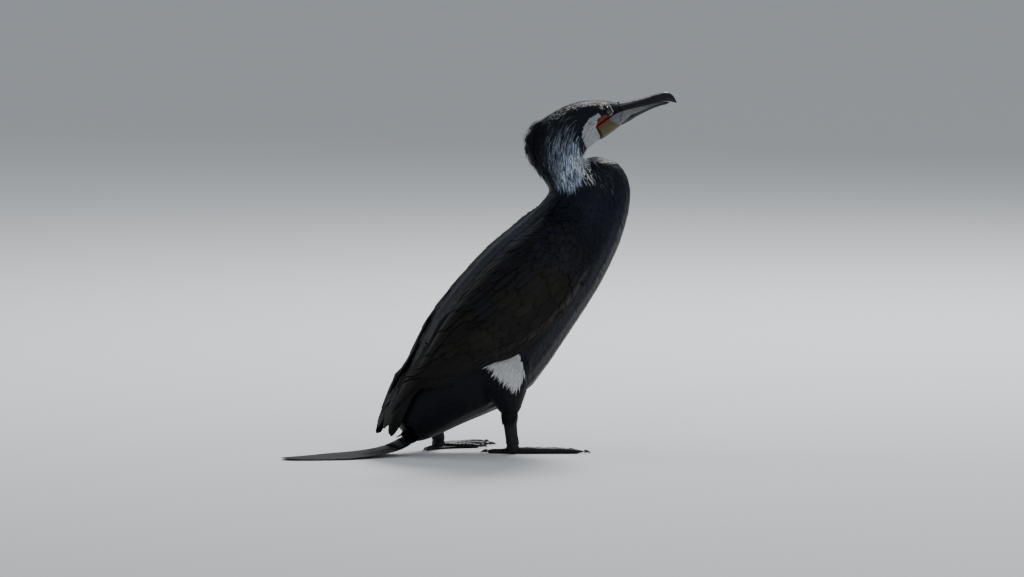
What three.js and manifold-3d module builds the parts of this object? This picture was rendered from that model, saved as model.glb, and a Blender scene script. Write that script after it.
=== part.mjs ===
// A life-size great cormorant in breeding dress, standing at rest with its neck folded back, its bill
// raised and its tail laid on the ground. Millimetres, +X forward, +Y to the bird's left, +Z up.
// The bird is a set of closed forms: torso, folded neck, head, bill, eyes, wings, tail, legs, feet
// and claws. Flight feathers, coverts, tail feathers and the nape crest are overlapping blades that
// grow out of the form that carries them.
import * as THREE from "three";
import { mergeVertices } from "three/addons/utils/BufferGeometryUtils.js";
import Module from "manifold-3d";

const wasm = await Module();
wasm.setup();

// Driving dimensions
const GAP = 0.32; // between forms that touch
const CENTRING = 25; // moves the middle of the outline over the origin
const HIP_HALF = 46; // each leg's distance from the middle plane
const STRIDE = 54; // how far the left leg stands behind the right one
const RIGHT_ANKLE_X = -5;
const ANKLE_HEIGHT = 11;
const LONGEST_TOE = 84; // the outer toe, without its claw
const EYE_RADIUS = 5.2;
const EYE_PLACE = [133, 12.9, 398];
const MOUTH_GAP = 0.5;
const TAIL_FEATHERS = 14;
const TAIL_SPREAD = 8.2; // degrees from the middle to the outermost shaft
const COVERT_RISE = 1.7; // how far a covert's tip stands off the wing

// Repeatable random numbers from a seed.
function randomFrom(seed) {
  let state = seed;
  return () => {
    state = (state * 1664525 + 1013904223) % 4294967296;
    return state / 4294967296;
  };
}

const lerp = THREE.MathUtils.lerp;
const smoothstep = THREE.MathUtils.smoothstep;
const radians = THREE.MathUtils.degToRad;
const vec = (x, y, z) => new THREE.Vector3(x, y, z);

// Value at t of a list of numbers spread evenly from 0 to 1, joined by straight stretches.
function along(list, t) {
  const at = THREE.MathUtils.clamp(t, 0, 1) * (list.length - 1);
  const i = Math.min(Math.floor(at), list.length - 2);
  return lerp(list[i], list[i + 1], at - i);
}

// A closed geometry as a solid, turned inside out where its faces point inwards.
function toSolid(geometry) {
  const bare = geometry.clone();
  bare.deleteAttribute("normal");
  bare.deleteAttribute("uv");
  const merged = mergeVertices(bare, 1e-3);
  const triVerts = new Uint32Array(merged.index.array);
  const vertProperties = new Float32Array(merged.attributes.position.array);
  const made = new wasm.Manifold(new wasm.Mesh({ numProp: 3, vertProperties, triVerts }));
  if (made.volume() > 0) return made;
  for (let i = 0; i < triVerts.length; i += 3) {
    [triVerts[i + 1], triVerts[i + 2]] = [triVerts[i + 2], triVerts[i + 1]];
  }
  return new wasm.Manifold(new wasm.Mesh({ numProp: 3, vertProperties, triVerts }));
}

// The largest closed surface of a solid.
function largest(solid) {
  return solid.decompose().reduce((a, b) => (b.volume() > a.volume() ? b : a));
}

function joined(solids) {
  return largest(solids.reduce((a, b) => a.add(b)));
}

// The same solid on the other side of the middle plane.
const mirrored = (solid) => solid.mirror([0, 1, 0]);

// Cuts away what lies behind a plane in the X-Z plane that passes through point and faces direction.
function keepAhead(solid, point, direction) {
  const n = vec(direction[0], 0, direction[1]).normalize();
  return solid.trimByPlane([n.x, 0, n.z], n.x * point[0] + n.z * point[1]);
}

// A ring of a lofted form, in the middle plane: the point on its back, the point on its belly and
// its half width. Grown by extra on every side.
function ring(back, belly, half, extra = 0) {
  const top = vec(back[0], 0, back[1]);
  const bottom = vec(belly[0], 0, belly[1]);
  const depth = top.clone().sub(bottom).multiplyScalar(0.5);
  const grown = depth.length() > 0 ? depth.clone().setLength(depth.length() + extra) : depth;
  return { centre: top.add(bottom).multiplyScalar(0.5), depth: grown, width: vec(0, half + extra, 0) };
}

// A smooth form through rings. point(t, angle) is on its surface: t runs from the first ring to the
// last, and angle from the back (0) round the bird's left side to the belly (pi).
function loft(rings) {
  const centres = new THREE.CatmullRomCurve3(rings.map((r) => r.centre));
  const depths = new THREE.CatmullRomCurve3(rings.map((r) => r.depth));
  const widths = new THREE.CatmullRomCurve3(rings.map((r) => r.width));
  const point = (t, angle) =>
    centres
      .getPoint(t)
      .addScaledVector(depths.getPoint(t), Math.cos(angle))
      .addScaledVector(widths.getPoint(t), Math.sin(angle));
  const normal = (t, angle) => {
    const step = 0.004;
    const round = point(t, angle + step).sub(point(t, angle - step));
    const on = point(Math.min(t + step, 1), angle).sub(point(Math.max(t - step, 0), angle));
    const n = on.cross(round).normalize();
    const outward = point(t, angle).sub(centres.getPoint(t));
    return n.dot(outward) < 0 ? n.negate() : n;
  };
  return { point, normal };
}

// The closed solid of a loft, from a sphere whose rows become the form's rings.
function loftSolid(form, around, rows) {
  const geometry = new THREE.SphereGeometry(1, around, rows);
  const uv = geometry.attributes.uv;
  const position = geometry.attributes.position;
  const row = (i) => Math.round((1 - uv.getY(i)) * rows);
  for (let i = 0; i < position.count; i++) {
    const t = row(i) / rows;
    const pole = t === 0 || t === 1;
    const column = (i % (around + 1)) % around;
    const angle = (column / around) * 2 * Math.PI;
    const p = pole ? form.point(t, 0).lerp(form.point(t, Math.PI), 0.5) : form.point(t, angle);
    position.setXYZ(i, p.x, p.y, p.z);
  }
  return toSolid(geometry);
}

// A thin closed slab between two faces over a grid, each face a function of (s, x) that gives a
// point: s runs 0 to 1 along, x runs -1 to 1 across. Both faces are split into triangles alike.
function slab(columns, rows, top, bottom) {
  const grid = new THREE.PlaneGeometry(1, 1, columns, rows);
  const count = grid.attributes.position.count;
  const points = [];
  for (const face of [top, bottom]) {
    for (let j = 0; j <= rows; j++) {
      for (let i = 0; i <= columns; i++) points.push(face(j / rows, (2 * i) / columns - 1));
    }
  }
  const index = [...grid.index.array];
  for (let i = 0; i < grid.index.count; i += 3) {
    const [a, b, c] = grid.index.array.subarray(i, i + 3);
    index.push(a + count, c + count, b + count);
  }
  const edge = [];
  for (let i = 0; i < columns; i++) edge.push(i);
  for (let j = 0; j < rows; j++) edge.push(j * (columns + 1) + columns);
  for (let i = columns; i > 0; i--) edge.push(rows * (columns + 1) + i);
  for (let j = rows; j > 0; j--) edge.push(j * (columns + 1));
  edge.forEach((a, k) => {
    const b = edge[(k + 1) % edge.length];
    index.push(a, b, b + count, a, b + count, a + count);
  });
  const geometry = new THREE.BufferGeometry().setFromPoints(points).setIndex(index);
  return toSolid(geometry);
}

// A feather's half width along its length as a share of the widest: narrow root, full blade, round tip.
function bladeShape(s, tip) {
  const root = lerp(0.55, 1, smoothstep(s, 0, 0.45));
  return root * lerp(1, tip, Math.pow(s, 5));
}

// A blade that follows a surface from root to tip, both places (a, b) on it. top and under list the
// heights of its two faces over the surface along its length, and tilt raises one edge of the top.
function feather(surface, spec) {
  const { root, tip, half, top, under, rows = 3, columns = 1, tilt = 0, tipShare = 0.35 } = spec;
  const place = (s) => [lerp(root[0], tip[0], s), lerp(root[1], tip[1], s)];
  const face = (heights, lean) => (s, x) => {
    const middle = surface.point(...place(s));
    const normal = surface.normal(...place(s));
    const behind = surface.point(...place(Math.max(s - 0.03, 0)));
    const run = surface.point(...place(Math.min(s + 0.03, 1))).sub(behind).normalize();
    const side = normal.clone().cross(run).normalize();
    const across = x * half * bladeShape(s, tipShare);
    return middle.addScaledVector(side, across).addScaledVector(normal, along(heights, s) + lean * x);
  };
  return slab(columns, rows, face(top, tilt), face(under, 0));
}

// Torso and the forward bend of the lower neck
const TORSO_RINGS = [
  // back [x, z], belly [x, z], half width
  [[-126, 28], [-126, 28], 0],
  [[-137, 45], [-111, 14], 16],
  [[-131, 72], [-87, 19], 29],
  [[-112, 111], [-49, 34], 45],
  [[-84, 160], [-5, 49], 55],
  [[-47, 204], [37, 74], 59],
  [[-5, 244], [83, 132], 58],
  [[30, 269], [123, 186], 53],
  [[53, 288], [151, 235], 46],
  [[67, 304], [165.5, 275], 39],
  [[79, 318], [169, 303], 33],
  [[91, 331], [163, 323], 28],
  [[104, 340], [151, 337], 21],
  [[126, 345], [126, 345], 0],
];
const formOf = (rings, extra) => loft(rings.map(([back, belly, half]) => ring(back, belly, half, extra)));
const trunk = loftSolid(formOf(TORSO_RINGS, 0), 22, 26);
const trunkGrown = loftSolid(formOf(TORSO_RINGS, GAP + 0.05), 22, 26);

// Upper neck and head in one form, parted later
const HEAD_RINGS = [
  [[88, 285], [88, 285], 0],
  [[67, 292], [112, 290], 20],
  [[66, 306], [112, 314], 26],
  [[55, 323], [109, 336], 27.5],
  [[44, 341], [107, 344], 27],
  [[37, 358], [113, 352], 26],
  [[41, 375], [121, 357], 24.5],
  [[56, 391], [127, 361], 22.5],
  [[79, 403], [133, 364], 21.5],
  [[102, 409.5], [138, 367], 20],
  [[124, 410.8], [142, 369.5], 17.5],
  [[143, 408.8], [151, 375], 13],
  [[156, 406.3], [160, 381], 8.5],
  [[164, 392], [164, 392], 0],
];
const headWhole = loftSolid(formOf(HEAD_RINGS, 0), 18, 27);
const headGrown = loftSolid(formOf(HEAD_RINGS, GAP), 18, 27);

// Bill: the hooked upper mandible and the lower one, hollowed to fit over the front of the head
const UPPER_BILL_RINGS = [
  [[136, 396], [136, 396], 0],
  [[146, 407], [145, 386], 11],
  [[158, 407.4], [157, 391], 9.6],
  [[176, 409.4], [176, 396], 7],
  [[193, 412.4], [193, 400], 5.6],
  [[207, 415.8], [207, 403.5], 5],
  [[216.5, 417.4], [215, 404.5], 4.6],
  [[224.5, 414.4], [221, 404.5], 3.8],
  [[229.4, 408], [225.5, 403], 2.6],
  [[231, 403.6], [228.2, 402], 1.3],
  [[230, 400], [230, 400], 0],
];
const LOWER_BILL_RINGS = [
  [[128, 388], [128, 388], 0],
  [[139, 399], [143, 376], 13.6],
  [[156, 403], [160, 379.8], 10.4],
  [[176, 405], [177.5, 388.6], 7],
  [[193, 407.5], [194, 395.6], 5.4],
  [[208, 409.5], [208.5, 400.4], 4.3],
  [[217, 408], [217, 402], 3.3],
  [[222.5, 404.8], [222.5, 404.8], 0],
];
const upperBillWhole = loftSolid(formOf(UPPER_BILL_RINGS, 0), 12, 19);
const lowerBillWhole = loftSolid(formOf(LOWER_BILL_RINGS, 0), 12, 14);
const mouthLine = [
  [80, 354],
  [118, 380],
  [137, 391],
  [155, 397],
  [173, 400.2],
  [190, 403.3],
  [207, 406],
  [222, 405.4],
  [240, 400],
];

// A sheet that follows the line of the mouth, from reach behind the middle plane to the other side.
function mouthSheet(from, to, thickness, reach) {
  const points = mouthLine.slice(from, to).map(([x, z]) => vec(x, 0, z));
  const curve = new THREE.CatmullRomCurve3(points);
  const face = (offset) => (s, x) => curve.getPoint(s).add(vec(0, x * reach, offset));
  return slab(1, 9, face(thickness / 2), face(-thickness / 2));
}

// Everything over the line of the mouth, to part the two mandibles cleanly.
function overMouth(offset) {
  const points = mouthLine.map(([x, z]) => vec(x, 0, z));
  const curve = new THREE.CatmullRomCurve3(points);
  return slab(
    1,
    24,
    (s, x) => curve.getPoint(s).add(vec(0, x * 30, 60)),
    (s, x) => curve.getPoint(s).add(vec(0, x * 30, offset)),
  );
}

// A slit along each side of the upper mandible, where the closed nostril lies
function nostrilSlit() {
  const start = vec(161, 0, 402.2);
  const end = vec(196, 0, 407.2);
  const geometry = new THREE.BoxGeometry(end.distanceTo(start), 40, 0.9);
  geometry.rotateY(-Math.atan2(end.z - start.z, end.x - start.x));
  const middle = start.lerp(end, 0.5);
  geometry.translate(middle.x, 0, middle.z);
  const core = loftSolid(
    loft(UPPER_BILL_RINGS.map(([back, belly, half]) => ring(back, belly, Math.max(half - 0.7, 0)))),
    12,
    14,
  );
  return toSolid(geometry).subtract(core);
}

const billUpper = largest(
  upperBillWhole.intersect(overMouth(MOUTH_GAP / 2)).subtract(headGrown).subtract(nostrilSlit()),
);

// The bare throat skin under the gape, parted from the head by two planes
const THROAT_REAR = [118, 380];
const THROAT_FACE = [0.78, 0.626];
function throatZone(solid, gap) {
  const start = [THROAT_REAR[0] + gap * THROAT_FACE[0], THROAT_REAR[1] + gap * THROAT_FACE[1]];
  return keepAhead(solid, start, THROAT_FACE).subtract(overMouth(-gap));
}
const JAW_START = [136, 391];
const JAW_FACE = [0.52, 0.854];
const throatPouch = largest(throatZone(headWhole, GAP / 2));
const throatRoom = throatZone(headGrown, -GAP / 2);
const billLower = largest(
  keepAhead(lowerBillWhole, JAW_START, JAW_FACE).subtract(overMouth(-MOUTH_GAP / 2)).subtract(headGrown),
);

// Eyes: balls in sockets, each with a raised lid
function ball(radius, centre, detail) {
  const geometry = new THREE.IcosahedronGeometry(radius, detail);
  geometry.translate(...centre);
  return toSolid(geometry);
}
const eyeRight = ball(EYE_RADIUS, [EYE_PLACE[0], -EYE_PLACE[1], EYE_PLACE[2]], 2);
const eyeRoom = ball(EYE_RADIUS + GAP, [EYE_PLACE[0], -EYE_PLACE[1], EYE_PLACE[2]], 2);
function lidRight() {
  const geometry = new THREE.TorusGeometry(4.5, 1.3, 5, 12);
  geometry.rotateX(Math.PI / 2);
  geometry.rotateZ(radians(14)); // the side of the head narrows towards the bill
  geometry.translate(EYE_PLACE[0], -EYE_PLACE[1] - 3.1, EYE_PLACE[2]);
  return toSolid(geometry);
}

// The head ends behind at a plane over the nape, so that the whole crest grows on the neck
const NAPE_CUT = [66, 398];
const NAPE_FACE = [0.62, 0.78];
const gapeGroove = mouthSheet(1, 5, 0.9, 40).subtract(
  loftSolid(
    loft(HEAD_RINGS.map(([back, belly, half]) => ring(back, belly, Math.max(half - 1.3, 0)))),
    14,
    18,
  ),
);
const headFlesh = keepAhead(headWhole, [NAPE_CUT[0] + 0.1, NAPE_CUT[1] + 0.13], NAPE_FACE);
const head = largest(
  joined([headFlesh, lidRight(), mirrored(lidRight())])
    .subtract(eyeRoom)
    .subtract(mirrored(eyeRoom))
    .subtract(throatRoom)
    .subtract(gapeGroove),
);

// Crest: flat locks on the nape that hang down and back, longest in the middle
const napeSurface = formOf(HEAD_RINGS, 0);
function crestLocks() {
  const random = randomFrom(7);
  const locks = [];
  const rows = 5;
  const across = 4;
  for (let row = 0; row < rows; row++) {
    for (let k = 0; k < across; k++) {
      const angle = (k - (across - 1) / 2 + (row % 2 ? 0.25 : -0.25)) * radians(21);
      const share = row / (rows - 1);
      const root = lerp(0.54, 0.315, share);
      const reach = 0.08 * lerp(0.85, 1.15, random());
      const longest = lerp(2.4, 4.2, Math.sin(Math.PI * share)) * Math.cos(angle * 1.3);
      const stand = longest * lerp(0.8, 1.2, random());
      locks.push(
        feather(napeSurface, {
          root: [root, angle],
          tip: [root - reach, angle * 1.1],
          half: lerp(3.8, 4.6, random()),
          top: [-0.8, stand * 0.4 + 0.5, stand + 0.6],
          under: [-2.2, -1.2, stand - 0.4],
          rows: 2,
          tipShare: 0.2,
        }),
      );
    }
  }
  return locks;
}
const napeRear = [NAPE_CUT[0] - 0.1, NAPE_CUT[1] - 0.13];
const neckFlesh = keepAhead(headWhole, napeRear, [-NAPE_FACE[0], -NAPE_FACE[1]]);
const neckUpper = largest(joined([neckFlesh, ...crestLocks()]).subtract(trunkGrown));

// The trunk is parted where the neck leaves the shoulders
const SHOULDER_CUT = [120, 268];
const SHOULDER_FACE = [0.3, 0.95];
const neckLower = largest(keepAhead(trunk, SHOULDER_CUT, SHOULDER_FACE));
const torso = largest(
  keepAhead(trunk, [SHOULDER_CUT[0] - 0.1, SHOULDER_CUT[1] - 0.31], [-SHOULDER_FACE[0], -SHOULDER_FACE[1]]),
);

// Legs: feathered thigh, bare tarsus, and a foot with four webbed toes
const THIGH_RINGS = [
  // height, middle x and y from the ankle, half length, half width
  [128, -8, -4, 0, 0],
  [118, -9, -3, 28, 12],
  [100, -11, 1, 34, 19],
  [80, -10, 2, 29, 19],
  [62, -7, 1, 20, 14],
  [50, -4, 0, 12.5, 10],
  [46, -4, 0, 0, 0],
];
function legRing([height, x, y, halfLength, halfWidth], footX, lean, extra) {
  const grow = halfLength > 0 ? extra : 0;
  return {
    centre: vec(footX + x + lean * (height / 128), -HIP_HALF - y, height),
    depth: vec(halfLength + grow, 0, 0),
    width: vec(0, halfWidth + grow, 0),
  };
}
const thighForm = (footX, lean, extra) => loft(THIGH_RINGS.map((r) => legRing(r, footX, lean, extra)));

const TARSUS_RINGS = [
  [60, -4, 0, 0, 0],
  [56, -4, 0, 8.4, 6],
  [46, -4, 0, 9.6, 6],
  [34, -3, 0, 8.8, 5.3],
  [22, -1.5, 0, 8.3, 5.1],
  [13, 0, 0, 8.6, 5.9],
  [8, 0, 0, 8.2, 6],
  [5, 0, 0, 0, 0],
];
const tarsusForm = (footX) => loft(TARSUS_RINGS.map((r) => legRing(r, footX, 0, 0)));

// Toes of the right foot: angle from straight ahead towards the outside, length and root radius
const TOES = {
  hallux: { angle: -142, length: 30, radius: 3.4, claw: 9 },
  inner: { angle: -14, length: 50, radius: 3.7, claw: 9 },
  middle: { angle: 6, length: 70, radius: 4, claw: 10 },
  outer: { angle: 24, length: LONGEST_TOE, radius: 4.2, claw: 8 },
};
const toeDirection = (toe) => vec(Math.cos(radians(toe.angle)), -Math.sin(radians(toe.angle)), 0);

// A toe's radius along its length, with a pad at each joint.
const toeRadius = (toe, s) => toe.radius * lerp(1.15, 0.72, s) * (1 + 0.09 * Math.cos(s * 6 * Math.PI));

function toeForm(toe) {
  const run = toeDirection(toe);
  const side = vec(-run.y, run.x, 0);
  const steps = 9;
  const rings = [];
  for (let i = 0; i <= steps; i++) {
    const s = i / steps;
    const ends = i === 0 || i === steps;
    const radius = ends ? 0 : toeRadius(toe, s);
    const bow = 1.5 * Math.sin(Math.PI * s);
    const centre = run.clone().multiplyScalar(lerp(-3, toe.length + 4, s));
    centre.z = toeRadius(toe, s) * 0.8 + bow * 0.25;
    rings.push({ centre, depth: vec(0, 0, radius), width: side.clone().multiplyScalar(radius * 0.95) });
  }
  return loft(rings);
}

// The web between two toes, with its free edge drawn in.
function webSolid(toeA, toeB, draw) {
  const runA = toeDirection(toeA);
  const runB = toeDirection(toeB);
  const at = (s, x) => {
    const share = (x + 1) / 2;
    const reachA = toeA.length * lerp(0.1, 0.97, s);
    const reachB = toeB.length * lerp(0.1, 0.97, s);
    const inward = 1 - draw * Math.sin(Math.PI * share) * s;
    return runA
      .clone()
      .multiplyScalar(reachA * inward)
      .lerp(runB.clone().multiplyScalar(reachB * inward), share);
  };
  const lift = (s, x) => 0.9 + 0.9 * (1 - x * x);
  return slab(
    3,
    2,
    (s, x) => at(s, x).setZ(lift(s, x) + 1.1),
    (s, x) => at(s, x).setZ(lift(s, x)),
  );
}

function clawSolid(toe) {
  const run = toeDirection(toe);
  const side = vec(-run.y, run.x, 0);
  const start = toe.length + 0.2;
  const rings = [
    [-1.5, 2.6, 0],
    [0, 2.7, 2.3],
    [0.35, 3, 2],
    [0.72, 2.2, 1.25],
    [1, 0.75, 0.5],
    [1.06, 0.5, 0],
  ].map(([s, height, radius]) => ({
    centre: run.clone().multiplyScalar(start + s * toe.claw).setZ(height),
    depth: vec(0, 0, radius),
    width: side.clone().multiplyScalar(radius * 0.72),
  }));
  return loftSolid(loft(rings), 6, 6);
}

// Everything of one leg, for the right side; the left one is its mirror image.
function leg(ankleX, lean) {
  const move = (solid) => solid.translate([ankleX, -HIP_HALF, 0]);
  const toes = Object.values(TOES);
  const knuckle = ball(8.2, [0, 0, 6], 1);
  const webs = [
    webSolid(TOES.hallux, TOES.inner, 0.38),
    webSolid(TOES.inner, TOES.middle, 0.1),
    webSolid(TOES.middle, TOES.outer, 0.1),
  ];
  const palm = joined([knuckle, ...toes.map((toe) => loftSolid(toeForm(toe), 7, 7)), ...webs]);
  const thigh = loftSolid(thighForm(ankleX, lean, 0), 14, 12);
  const thighGrown = loftSolid(thighForm(ankleX, lean, GAP), 14, 12);
  const shank = loftSolid(tarsusForm(ankleX), 10, 12);
  const footTop = ANKLE_HEIGHT - GAP / 2;
  let foot = palm.trimByPlane([0, 0, 1], 0).trimByPlane([0, 0, -1], -footTop);
  const claws = {};
  for (const [name, toe] of Object.entries(TOES)) {
    const run = toeDirection(toe);
    const end = toe.length;
    const claw = clawSolid(toe);
    const clear = claw.trimByPlane([run.x, run.y, 0], end + GAP / 2).trimByPlane([0, 0, 1], 0.1);
    claws[name] = move(largest(clear));
    const tip = toSolid(
      new THREE.BoxGeometry(40, 16, 30)
        .translate(20 + end - GAP / 2, 0, 0)
        .rotateZ(Math.atan2(run.y, run.x)),
    );
    foot = foot.subtract(tip);
  }
  const tarsus = largest(
    shank.trimByPlane([0, 0, 1], ANKLE_HEIGHT + GAP / 2).subtract(thighGrown).subtract(trunkGrown),
  );
  return { thigh: largest(thigh.subtract(trunkGrown)), thighGrown, tarsus, foot: move(largest(foot)), claws };
}
const rightLeg = leg(RIGHT_ANKLE_X, 0);
const leftLeg = leg(RIGHT_ANKLE_X - STRIDE, 22);

// Wings: folded, each a shell over the flank whose feathers lie in tiers, the front ones on top
const FLANK = 7; // how far the wing stands off the flank
const wingCloak = loft([
  ...TORSO_RINGS.slice(3, 10)
    .reverse()
    .map(([[backX, backZ], [bellyX, bellyZ], half]) =>
      ring([backX - 1, backZ + 1], [bellyX + 3, bellyZ - 3], half + FLANK),
    ),
  ring([-130, 92], [-94, 56], 39),
  ring([-143, 66], [-118, 43], 30),
  ring([-153, 42], [-137, 28], 23),
  ring([-158, 25], [-148, 16], 19),
]);
const UPPER_EDGE = [17, 16, 15, 14, 13, 12, 12, 14, 20, 44, 60]; // degrees from the back, shoulder to tip
const LOWER_EDGE = [90, 97, 105, 110, 98, 83, 67, 64, 71, 94, 112];
const SHOULDER_START = 0.1;
const WRIST_START = 0.17;

// The right wing's surface: a runs 0 to 1 from front to tip, b runs 0 to 1 from the upper edge down.
const wingSurface = (() => {
  const place = (a, b) => {
    const t = lerp(lerp(SHOULDER_START, WRIST_START, b), 0.965, a);
    const angle = -radians(lerp(along(UPPER_EDGE, t), along(LOWER_EDGE, t), b));
    return [THREE.MathUtils.clamp(t, 0, 1), angle];
  };
  return {
    point: (a, b) => wingCloak.point(...place(a, b)),
    normal: (a, b) => wingCloak.normal(...place(a, b)),
  };
})();

function wingCore() {
  const edge = (s, b) => {
    const upper = smoothstep(b, 0, 0.2);
    const lower = smoothstep(1 - b, 0, 0.07);
    const front = smoothstep(s, 0, 0.07);
    return Math.min(lerp(0.15, 1, upper), lerp(0.35, 1, lower), lerp(0.3, 1, front));
  };
  const face = (lowerFace) => (s, x) => {
    const b = (x + 1) / 2;
    const top = -FLANK * (1 - edge(s, b)) * lerp(1, 0.35, smoothstep(s, 0.6, 0.85));
    const deep = lerp(FLANK + 5, 3.2, smoothstep(s, 0.62, 0.85));
    return wingSurface.point(s, b).addScaledVector(wingSurface.normal(s, b), lowerFace ? -deep : top);
  };
  return slab(7, 11, face(false), face(true));
}

// One row of feathers from the lower edge to the upper one, given by its first and last.
function featherRow(count, lowest, highest, options) {
  const made = [];
  for (let i = 0; i < count; i++) {
    const share = i / (count - 1);
    const mix = (p, q) => [lerp(p[0], q[0], share), lerp(p[1], q[1], share)];
    const tip = mix(lowest.tip, highest.tip);
    tip[0] += (options.bend || 0) * Math.sin(Math.PI * share);
    const half = lerp(lowest.half, highest.half, share);
    made.push(feather(wingSurface, { ...options, root: mix(lowest.root, highest.root), tip, half }));
  }
  return made;
}

function wingFeathers() {
  const flight = { top: [-1, 0.6, 1, 1.4], under: [-1.6, -1.4, -1.2, -0.6], tilt: 0.5 };
  const primary = { ...flight, under: [-1.4, -1, -0.5, -0.2], tipShare: 0.25 };
  const covert = { top: [-1, 1.2, COVERT_RISE], under: [-1.8, -1, -0.6], tilt: 0.6, rows: 2 };
  const secondary = { ...flight, bend: 0.04 };
  const greater = { ...covert, bend: 0.03 };
  const end = (a, b, a1, b1, half) => ({ root: [a, b], tip: [a1, b1], half });
  return [
    ...featherRow(5, end(0.62, 0.8, 1, 0.72, 7), end(0.66, 0.2, 0.88, 0.2, 7.5), primary),
    ...featherRow(7, end(0.34, 0.95, 0.6, 0.96, 8.6), end(0.52, 0.1, 0.82, 0.12, 9), secondary),
    ...featherRow(6, end(0.2, 0.93, 0.42, 0.94, 10.5), end(0.32, 0.16, 0.6, 0.16, 11), greater),
    ...featherRow(6, end(0.1, 0.92, 0.28, 0.93, 10), end(0.18, 0.2, 0.42, 0.19, 10.5), covert),
    ...featherRow(4, end(0.03, 0.88, 0.16, 0.9, 11), end(0.05, 0.26, 0.26, 0.24, 12), covert),
    ...featherRow(3, end(0.1, 0.22, 0.34, 0.18, 9), end(0.4, 0.08, 0.68, 0.08, 8), covert),
  ];
}
const wingRightWhole = joined([wingCore(), ...wingFeathers()]);
const wingRight = largest(wingRightWhole.subtract(trunkGrown).subtract(rightLeg.thighGrown));
const wingLeft = largest(
  mirrored(wingRightWhole).subtract(trunkGrown).subtract(mirrored(leftLeg.thighGrown)),
);

// Tail: fourteen stiff feathers stepped towards the middle, bent at the root to lie on the ground
const tailLine = new THREE.CatmullRomCurve3(
  [
    [-100, 30],
    [-118, 17],
    [-140, 8],
    [-170, 3.4],
    [-210, 1.4],
    [-245, 0.4],
    [-266, 0],
    [-284, 0],
  ].map(([x, z]) => vec(x, 0, z)),
);
const tailRun = tailLine.getLength();
const tailSurface = {
  point: (a, b) => {
    const p = tailLine.getPointAt(THREE.MathUtils.clamp(a, 0, 1));
    const rootHalf = lerp(3, 9, Math.min(a * 4, 1));
    return p.add(vec(0, (rootHalf + Math.tan(radians(TAIL_SPREAD)) * a * tailRun) * b, 0));
  },
  normal: (a) => {
    const t = tailLine.getTangentAt(THREE.MathUtils.clamp(a, 0, 1));
    return vec(-t.z, 0, t.x).multiplyScalar(Math.sign(t.x) || 1);
  },
};
function tailFeathers() {
  const made = [];
  for (let i = 0; i < TAIL_FEATHERS; i++) {
    const side = (2 * i) / (TAIL_FEATHERS - 1) - 1;
    const outward = Math.abs(side);
    const height = lerp(4.6, 1.5, outward) + (side > 0 ? 0.25 : 0);
    made.push(
      feather(tailSurface, {
        root: [0, side],
        tip: [lerp(1, 0.74, Math.pow(outward, 1.6)), side],
        half: 7.2,
        top: [6, height + 1.4, height + 0.4, height * 0.8, Math.max(height * 0.45, 1.2)],
        under: [-6, -height - 1.4, -height, -height, -height],
        rows: 4,
        tipShare: 0.35,
      }),
    );
  }
  return made;
}
const tail = largest(
  joined(tailFeathers())
    .trimByPlane([0, 0, 1], 0)
    .subtract(trunkGrown)
    .subtract(mirrored(wingLeft))
    .subtract(wingLeft),
);

// Finishes
const finish = (color, roughness) => new THREE.MeshStandardMaterial({ color, roughness, metalness: 0 });
const plumage = finish(0x0b0d14, 0.55);
const wingBronze = finish(0x1d1a18, 0.6);
const horn = finish(0x3a3d44, 0.4);
const bareSkin = finish(0x7a6a1c, 0.5);
const blackSkin = finish(0x0d0e11, 0.45);
const eyeGreen = finish(0x0c3a30, 0.15);

const bird = new THREE.Group();
bird.position.x = CENTRING;

function addMesh(parent, name, solid, material) {
  const { vertProperties, triVerts, numProp } = solid.getMesh();
  const geometry = new THREE.BufferGeometry()
    .setAttribute("position", new THREE.BufferAttribute(new Float32Array(vertProperties), numProp))
    .setIndex(new THREE.BufferAttribute(new Uint32Array(triVerts), 1));
  geometry.computeVertexNormals();
  const mesh = new THREE.Mesh(geometry, material);
  mesh.name = name;
  parent.add(mesh);
}

addMesh(bird, "torso", torso, plumage);
addMesh(bird, "neck_lower", neckLower, plumage);
addMesh(bird, "neck_upper", neckUpper, plumage);
addMesh(bird, "head", head, plumage);
addMesh(bird, "bill_upper", billUpper, horn);
addMesh(bird, "bill_lower", billLower, horn);
addMesh(bird, "throat_pouch", throatPouch, bareSkin);
addMesh(bird, "eye_right", eyeRight, eyeGreen);
addMesh(bird, "eye_left", mirrored(eyeRight), eyeGreen);
addMesh(bird, "wing_right", wingRight, wingBronze);
addMesh(bird, "wing_left", wingLeft, wingBronze);
addMesh(bird, "tail", tail, plumage);
for (const [side, made, turn] of [
  ["right", rightLeg, (solid) => solid],
  ["left", leftLeg, mirrored],
]) {
  const limb = new THREE.Group();
  addMesh(limb, `thigh_${side}`, turn(made.thigh), plumage);
  addMesh(limb, `tarsus_${side}`, turn(made.tarsus), blackSkin);
  addMesh(limb, `foot_${side}`, turn(made.foot), blackSkin);
  for (const [toe, claw] of Object.entries(made.claws)) {
    addMesh(limb, `claw_${toe}_${side}`, turn(claw), horn);
  }
  bird.add(limb);
}

export default bird;
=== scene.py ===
# %% [markdown]
# # A great cormorant, standing at rest
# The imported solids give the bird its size, pose and outline. This lesson dresses them: one smooth skin
# under the whole body, thousands of small feathers along it, long blades for wings and tail, a horn
# bill, wet eyes and scaly webbed feet. Everything is in metres, in the solids' frame.

# %% Load the solids and keep their box
import math
from collections import namedtuple
from functools import partial

import bpy
import numpy as np
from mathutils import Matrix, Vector
from mathutils.bvhtree import BVHTree


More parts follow.
